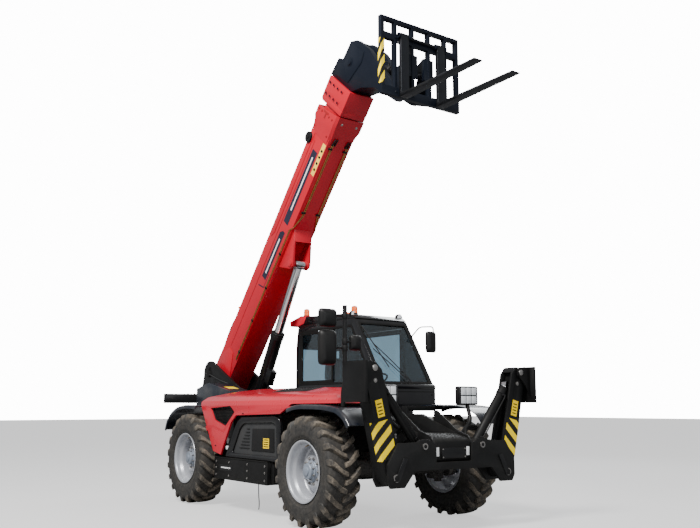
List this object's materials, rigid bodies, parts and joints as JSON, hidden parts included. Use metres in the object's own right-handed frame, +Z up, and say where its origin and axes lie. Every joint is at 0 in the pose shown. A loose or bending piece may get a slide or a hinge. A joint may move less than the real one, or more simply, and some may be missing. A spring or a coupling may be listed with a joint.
{
  "type": "rigid telehandler with stabilisers",
  "caption": "Telescopic handler with a raised boom, pallet forks, side cab, engine hood, folded front stabilisers and four steered wheels.",
  "frame": {"origin": "on the ground, at the middle of the outline seen from above", "axes": "+Z up, the machine faces -Y, its left side with the cab is +X"},
  "size_m": [2.8603, 6.5956, 6.1781],
  "materials": {
    "frame_paint": "satin black-brown paint",
    "black_paint": "satin black paint",
    "red_paint": "gloss red paint",
    "navy_paint": "satin blue-black paint",
    "fender_plastic": "gloss moulded plastic",
    "rim_paint": "silver paint",
    "rubber": "lugged tyre rubber",
    "chrome": "hard chrome",
    "cast_iron": "painted casting",
    "glass": "blue tinted glass",
    "seat_fabric": "woven fabric",
    "trim_plastic": "matt moulded plastic",
    "fork_steel": "forged steel, painted and worn",
    "lamp_housing": "moulded housing",
    "strap_rubber": "rubber strap"
  },
  "bodies": {
    "chassis": {"main_frame": "frame_paint", "front_nose": "frame_paint", "stabiliser_beam": "frame_paint", "front_axle": "cast_iron", "rear_axle": "cast_iron", "engine": "cast_iron", "engine_platform": "black_paint", "hydraulic_tank": "fender_plastic", "fuel_tank": "black_paint", "rear_light_beam": "black_paint", "mirror_post": "trim_plastic", "ground_strap": "strap_rubber", "cab_shell": "black_paint", "windscreen": "glass", "right_window": "glass", "rear_window": "glass", "cab_roof": "red_paint", "seat": "seat_fabric", "steering_console": "trim_plastic", "left_mirror": "trim_plastic", "work_lamp_right": "lamp_housing", "work_lamp_left": "lamp_housing", "fender_front_right": "fender_plastic", "fender_front_left": "fender_plastic", "fender_rear_right": "fender_plastic", "fender_rear_left": "fender_plastic"},
    "boom_outer": {"boom_outer": "red_paint"},
    "boom_middle": {"boom_middle": "red_paint"},
    "boom_inner": {"boom_inner": "red_paint", "boom_head": "navy_paint"},
    "carriage": {"fork_carriage": "navy_paint", "forks": "fork_steel"},
    "lift_barrel": {"lift_barrel": "black_paint"},
    "lift_rod": {"lift_rod": "chrome"},
    "tilt_barrel": {"tilt_barrel": "black_paint"},
    "tilt_rod": {"tilt_rod": "chrome"},
    "door": {"cab_door": "black_paint", "door_window": "glass"},
    "hood": {"engine_hood": "red_paint"},
    "knuckle_front_left": {"knuckle_front_left": "cast_iron"},
    "wheel_front_left": {"rim_front_left": "rim_paint", "tyre_front_left": "rubber"},
    "knuckle_front_right": {"knuckle_front_right": "cast_iron"},
    "wheel_front_right": {"rim_front_right": "rim_paint", "tyre_front_right": "rubber"},
    "knuckle_rear_left": {"knuckle_rear_left": "cast_iron"},
    "wheel_rear_left": {"rim_rear_left": "rim_paint", "tyre_rear_left": "rubber"},
    "knuckle_rear_right": {"knuckle_rear_right": "cast_iron"},
    "wheel_rear_right": {"rim_rear_right": "rim_paint", "tyre_rear_right": "rubber"},
    "leg_left": {"stabiliser_leg_left": "frame_paint"},
    "pad_left": {"stabiliser_pad_left": "frame_paint"},
    "leg_barrel_left": {"stabiliser_barrel_left": "black_paint"},
    "leg_rod_left": {"stabiliser_rod_left": "chrome"},
    "leg_right": {"stabiliser_leg_right": "frame_paint"},
    "pad_right": {"stabiliser_pad_right": "frame_paint"},
    "leg_barrel_right": {"stabiliser_barrel_right": "black_paint"},
    "leg_rod_right": {"stabiliser_rod_right": "chrome"}
  },
  "joints": [
    {"name": "boom_lift", "type": "hinge", "parent": "chassis", "child": "boom_outer", "pos_m": [0, 2.93, 1.85], "axis": [-1, 0, 0], "range_deg": [-49, 21]},
    {"name": "boom_extend", "type": "slide", "parent": "boom_outer", "child": "boom_middle", "axis": [0, -0.6561, 0.7547], "range_m": [0, 3.6]},
    {"name": "boom_extend_inner", "type": "slide", "parent": "boom_middle", "child": "boom_inner", "axis": [0, -0.6561, 0.7547], "range_m": [0, 3.6]},
    {"name": "carriage_tilt", "type": "hinge", "parent": "boom_inner", "child": "carriage", "pos_m": [0, -1.74, 5.12], "axis": [-1, 0, 0], "range_deg": [-60, 50]},
    {"name": "lift_cylinder_swing", "type": "hinge", "parent": "chassis", "child": "lift_barrel", "pos_m": [0, 2.21, 0.82], "axis": [-1, 0, 0], "range_deg": [-45.5, 20]},
    {"name": "lift_rod_slide", "type": "slide", "parent": "lift_barrel", "child": "lift_rod", "axis": [0, -0.5034, 0.8641], "range_m": [-1.03, 0.45]},
    {"name": "tilt_cylinder_swing", "type": "hinge", "parent": "boom_inner", "child": "tilt_barrel", "pos_m": [0, -0.7643, 5.88641], "axis": [-1, 0, 0], "range_deg": [-2, 2]},
    {"name": "tilt_rod_slide", "type": "slide", "parent": "tilt_barrel", "child": "tilt_rod", "axis": [0, -0.9082, -0.4185], "range_m": [-0.23, 0.27]},
    {"name": "steer_front_left", "type": "hinge", "parent": "chassis", "child": "knuckle_front_left", "pos_m": [0.78, -1.32, 0.615], "axis": [0, 0, 1], "range_deg": [-35, 35]},
    {"name": "spin_front_left", "type": "hinge", "parent": "knuckle_front_left", "child": "wheel_front_left", "pos_m": [1.025, -1.32, 0.615], "axis": [1, 0, 0], "continuous": true},
    {"name": "steer_front_right", "type": "hinge", "parent": "chassis", "child": "knuckle_front_right", "pos_m": [-0.78, -1.32, 0.615], "axis": [0, 0, 1], "range_deg": [-35, 35]},
    {"name": "spin_front_right", "type": "hinge", "parent": "knuckle_front_right", "child": "wheel_front_right", "pos_m": [-1.025, -1.32, 0.615], "axis": [1, 0, 0], "continuous": true},
    {"name": "steer_rear_left", "type": "hinge", "parent": "chassis", "child": "knuckle_rear_left", "pos_m": [0.78, 1.77, 0.615], "axis": [0, 0, 1], "range_deg": [-35, 35]},
    {"name": "spin_rear_left", "type": "hinge", "parent": "knuckle_rear_left", "child": "wheel_rear_left", "pos_m": [1.025, 1.77, 0.615], "axis": [1, 0, 0], "continuous": true},
    {"name": "steer_rear_right", "type": "hinge", "parent": "chassis", "child": "knuckle_rear_right", "pos_m": [-0.78, 1.77, 0.615], "axis": [0, 0, 1], "range_deg": [-35, 35]},
    {"name": "spin_rear_right", "type": "hinge", "parent": "knuckle_rear_right", "child": "wheel_rear_right", "pos_m": [-1.025, 1.77, 0.615], "axis": [1, 0, 0], "continuous": true},
    {"name": "door_hinge", "type": "hinge", "parent": "chassis", "child": "door", "pos_m": [1.14, 0.752, 1.6], "axis": [0, 0, 1], "range_deg": [0, 90]},
    {"name": "hood_hinge", "type": "hinge", "parent": "chassis", "child": "hood", "pos_m": [-0.3306, -0.12, 1.548], "axis": [0, 1, 0], "range_deg": [0, 60]},
    {"name": "leg_left", "type": "hinge", "parent": "chassis", "child": "leg_left", "pos_m": [0.81, -2.3513, 0.6], "axis": [0, 1, 0], "range_deg": [0, 104]},
    {"name": "pad_left", "type": "hinge", "parent": "leg_left", "child": "pad_left", "pos_m": [1.08, -2.3513, 1.72], "axis": [0, -1, 0], "range_deg": [-10, 25]},
    {"name": "leg_cylinder_left", "type": "hinge", "parent": "chassis", "child": "leg_barrel_left", "pos_m": [0.42, -2.3513, 0.91], "axis": [0, 1, 0], "range_deg": [0, 80]},
    {"name": "leg_rod_left", "type": "slide", "parent": "leg_barrel_left", "child": "leg_rod_left", "axis": [0.6204, 0, 0.7843], "range_m": [0, 0.63]},
    {"name": "leg_right", "type": "hinge", "parent": "chassis", "child": "leg_right", "pos_m": [-0.81, -2.3513, 0.6], "axis": [0, -1, 0], "range_deg": [0, 104]},
    {"name": "pad_right", "type": "hinge", "parent": "leg_right", "child": "pad_right", "pos_m": [-1.08, -2.3513, 1.72], "axis": [0, 1, 0], "range_deg": [-10, 25]},
    {"name": "leg_cylinder_right", "type": "hinge", "parent": "chassis", "child": "leg_barrel_right", "pos_m": [-0.42, -2.3513, 0.91], "axis": [0, -1, 0], "range_deg": [0, 80]},
    {"name": "leg_rod_right", "type": "slide", "parent": "leg_barrel_right", "child": "leg_rod_right", "axis": [-0.6204, 0, 0.7843], "range_m": [0, 0.63]}
  ],
  "couplings": [
    {"joint": "boom_extend_inner", "follows": "boom_extend", "ratio": 1},
    {"joint": "lift_cylinder_swing", "follows": "boom_lift", "ratio": 0.915},
    {"joint": "lift_rod_slide", "follows": "boom_lift", "m_per_rad": 1.19},
    {"joint": "tilt_cylinder_swing", "follows": "carriage_tilt", "ratio": -0.01},
    {"joint": "tilt_rod_slide", "follows": "carriage_tilt", "m_per_rad": -0.245},
    {"joint": "steer_front_right", "follows": "steer_front_left", "ratio": 1},
    {"joint": "steer_rear_right", "follows": "steer_rear_left", "ratio": 1},
    {"joint": "leg_cylinder_left", "follows": "leg_left", "ratio": 0.762},
    {"joint": "leg_rod_left", "follows": "leg_left", "m_per_rad": 0.342},
    {"joint": "leg_cylinder_right", "follows": "leg_right", "ratio": 0.762},
    {"joint": "leg_rod_right", "follows": "leg_right", "m_per_rad": 0.342}
  ]
}
